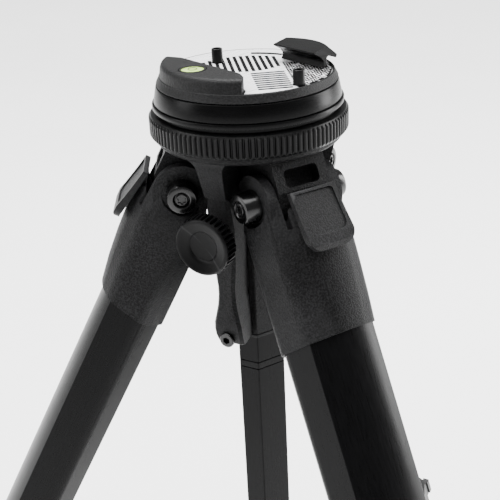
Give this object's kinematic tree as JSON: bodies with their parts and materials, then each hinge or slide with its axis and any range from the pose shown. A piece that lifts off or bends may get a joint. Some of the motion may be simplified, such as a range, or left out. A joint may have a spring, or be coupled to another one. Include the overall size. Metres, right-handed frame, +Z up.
{
  "type": "travel tripod",
  "caption": "Compact photo tripod: faceted telescopic legs hinged on an apex casting, a sliding centre column, and a round pan platform with a knurled lock ring and hooked camera-plate seat.",
  "frame": {"origin": "centre of the bounding box's bottom face, on the ground plane under the feet", "axes": "+Z up the tripod's axis, -X along the left leg's direction, -Y towards the front between the left and right legs"},
  "size_m": [0.3304, 0.3768, 0.4009],
  "materials": {
    "anodised": "satin black anodised",
    "casting": "fine textured black",
    "leg_tube": "satin black",
    "plastic": "matte black",
    "silver": "bright machined",
    "steel": "machined",
    "vial": "clear green-yellow",
    "rubber": "matte"
  },
  "bodies": {
    "apex": {"apex_casting": "casting", "column_bushing": "plastic", "sleeve_screw": "steel", "pivot_bolt_left": "steel", "pivot_bolt_right": "steel", "pivot_bolt_back": "steel"},
    "column": {"column_upper": "leg_tube", "column_band": "anodised", "column_lower": "leg_tube", "column_end_cap": "plastic", "head_base": "anodised"},
    "pan_lock": {"lock_ring": "anodised"},
    "platform": {"index_ring": "anodised", "platform_drum": "anodised", "platform_cap": "plastic", "top_plate": "silver", "bubble_vial": "vial"},
    "jaw": {"hook_jaw": "anodised"},
    "pin_1": {"register_pin_1": "anodised"},
    "pin_2": {"register_pin_2": "anodised"},
    "knob": {"column_lock_knob": "anodised"},
    "leg_left": {"collar_left": "casting", "tube_outer_left": "leg_tube", "clamp_upper_left": "plastic"},
    "section_middle_left": {"tube_middle_left": "leg_tube", "clamp_lower_left": "plastic"},
    "section_lower_left": {"tube_lower_left": "leg_tube", "foot_left": "rubber"},
    "tab_left": {"angle_tab_left": "casting"},
    "lever_upper_left": {"lever_upper_left": "anodised"},
    "lever_lower_left": {"lever_lower_left": "anodised"},
    "leg_right": {"collar_right": "casting", "tube_outer_right": "leg_tube", "clamp_upper_right": "plastic"},
    "section_middle_right": {"tube_middle_right": "leg_tube", "clamp_lower_right": "plastic"},
    "section_lower_right": {"tube_lower_right": "leg_tube", "foot_right": "rubber"},
    "tab_right": {"angle_tab_right": "casting"},
    "lever_upper_right": {"lever_upper_right": "anodised"},
    "lever_lower_right": {"lever_lower_right": "anodised"},
    "leg_back": {"collar_back": "casting", "tube_outer_back": "leg_tube", "clamp_upper_back": "plastic"},
    "section_middle_back": {"tube_middle_back": "leg_tube", "clamp_lower_back": "plastic"},
    "section_lower_back": {"tube_lower_back": "leg_tube", "foot_back": "rubber"},
    "tab_back": {"angle_tab_back": "casting"},
    "lever_upper_back": {"lever_upper_back": "anodised"},
    "lever_lower_back": {"lever_lower_back": "anodised"}
  },
  "joints": [
    {"name": "column_slide", "type": "slide", "parent": "apex", "child": "column", "axis": [0, 0, 1], "range_m": [0, 0.16]},
    {"name": "pan_lock_turn", "type": "hinge", "parent": "column", "child": "pan_lock", "pos_m": [0.04869, 0, 0.37531], "axis": [0, 0, 1], "range_deg": [0, 60]},
    {"name": "pan_turn", "type": "hinge", "parent": "column", "child": "platform", "pos_m": [0.04869, 0, 0.38531], "axis": [0, 0, 1], "continuous": true},
    {"name": "jaw_slide", "type": "slide", "parent": "platform", "child": "jaw", "axis": [0.788, 0.6157, 0], "range_m": [0, 0.003]},
    {"name": "knob_turn", "type": "hinge", "parent": "apex", "child": "knob", "pos_m": [0.02814, -0.03559, 0.33691], "axis": [-0.5, -0.866, 0], "continuous": true},
    {"name": "pin_1_press", "type": "slide", "parent": "platform", "child": "pin_1", "axis": [0, 0, -1], "range_m": [0, 0.005], "stiffness_N_per_m": 150, "springref_m": -0.002},
    {"name": "pin_2_press", "type": "slide", "parent": "platform", "child": "pin_2", "axis": [0, 0, -1], "range_m": [0, 0.005], "stiffness_N_per_m": 150, "springref_m": -0.002},
    {"name": "leg_swing_left", "type": "hinge", "parent": "apex", "child": "leg_left", "pos_m": [0.02189, 0, 0.35081], "axis": [0, 1, 0], "range_deg": [-26, 0]},
    {"name": "tab_flip_left", "type": "hinge", "parent": "leg_left", "child": "tab_left", "pos_m": [0.0075, 0, 0.35652], "axis": [0, 1, 0], "range_deg": [0, 35], "stiffness_Nm_per_rad": 0.03, "springref_deg": -17.19},
    {"name": "extend_middle_left", "type": "slide", "parent": "leg_left", "child": "section_middle_left", "axis": [-0.4633, 0, -0.8862], "range_m": [0, 0.19]},
    {"name": "extend_lower_left", "type": "slide", "parent": "section_middle_left", "child": "section_lower_left", "axis": [-0.4633, 0, -0.8862], "range_m": [0, 0.19]},
    {"name": "lever_upper_flip_left", "type": "hinge", "parent": "leg_left", "child": "lever_upper_left", "pos_m": [-0.13996, -0.0115, 0.07207], "axis": [0.4633, 0, 0.8862], "range_deg": [0, 100]},
    {"name": "lever_lower_flip_left", "type": "hinge", "parent": "section_middle_left", "child": "lever_lower_left", "pos_m": [-0.15273, -0.0115, 0.04377], "axis": [0.4633, 0, 0.8862], "range_deg": [0, 100]},
    {"name": "leg_swing_right", "type": "hinge", "parent": "apex", "child": "leg_right", "pos_m": [0.06209, -0.02321, 0.35081], "axis": [-0.866, -0.5, 0], "range_deg": [-26, 0]},
    {"name": "tab_flip_right", "type": "hinge", "parent": "leg_right", "child": "tab_right", "pos_m": [0.06928, -0.03567, 0.35652], "axis": [-0.866, -0.5, 0], "range_deg": [0, 35], "stiffness_Nm_per_rad": 0.03, "springref_deg": -17.19},
    {"name": "extend_middle_right", "type": "slide", "parent": "leg_right", "child": "section_middle_right", "axis": [0.2316, -0.4012, -0.8862], "range_m": [0, 0.19]},
    {"name": "extend_lower_right", "type": "slide", "parent": "section_middle_right", "child": "section_lower_right", "axis": [0.2316, -0.4012, -0.8862], "range_m": [0, 0.19]},
    {"name": "lever_upper_flip_right", "type": "hinge", "parent": "leg_right", "child": "lever_upper_right", "pos_m": [0.15298, -0.15763, 0.07207], "axis": [-0.2316, 0.4012, 0.8862], "range_deg": [0, 100]},
    {"name": "lever_lower_flip_right", "type": "hinge", "parent": "section_middle_right", "child": "lever_lower_right", "pos_m": [0.15936, -0.16869, 0.04377], "axis": [-0.2316, 0.4012, 0.8862], "range_deg": [0, 100]},
    {"name": "leg_swing_back", "type": "hinge", "parent": "apex", "child": "leg_back", "pos_m": [0.06209, 0.02321, 0.35081], "axis": [0.866, -0.5, 0], "range_deg": [-26, 0]},
    {"name": "tab_flip_back", "type": "hinge", "parent": "leg_back", "child": "tab_back", "pos_m": [0.06928, 0.03567, 0.35652], "axis": [0.866, -0.5, 0], "range_deg": [0, 35], "stiffness_Nm_per_rad": 0.03, "springref_deg": -17.19},
    {"name": "extend_middle_back", "type": "slide", "parent": "leg_back", "child": "section_middle_back", "axis": [0.2316, 0.4012, -0.8862], "range_m": [0, 0.19]},
    {"name": "extend_lower_back", "type": "slide", "parent": "section_middle_back", "child": "section_lower_back", "axis": [0.2316, 0.4012, -0.8862], "range_m": [0, 0.19]},
    {"name": "lever_upper_flip_back", "type": "hinge", "parent": "leg_back", "child": "lever_upper_back", "pos_m": [0.13306, 0.16913, 0.07207], "axis": [-0.2316, -0.4012, 0.8862], "range_deg": [0, 100]},
    {"name": "lever_lower_flip_back", "type": "hinge", "parent": "section_middle_back", "child": "lever_lower_back", "pos_m": [0.13944, 0.18019, 0.04377], "axis": [-0.2316, -0.4012, 0.8862], "range_deg": [0, 100]}
  ]
}
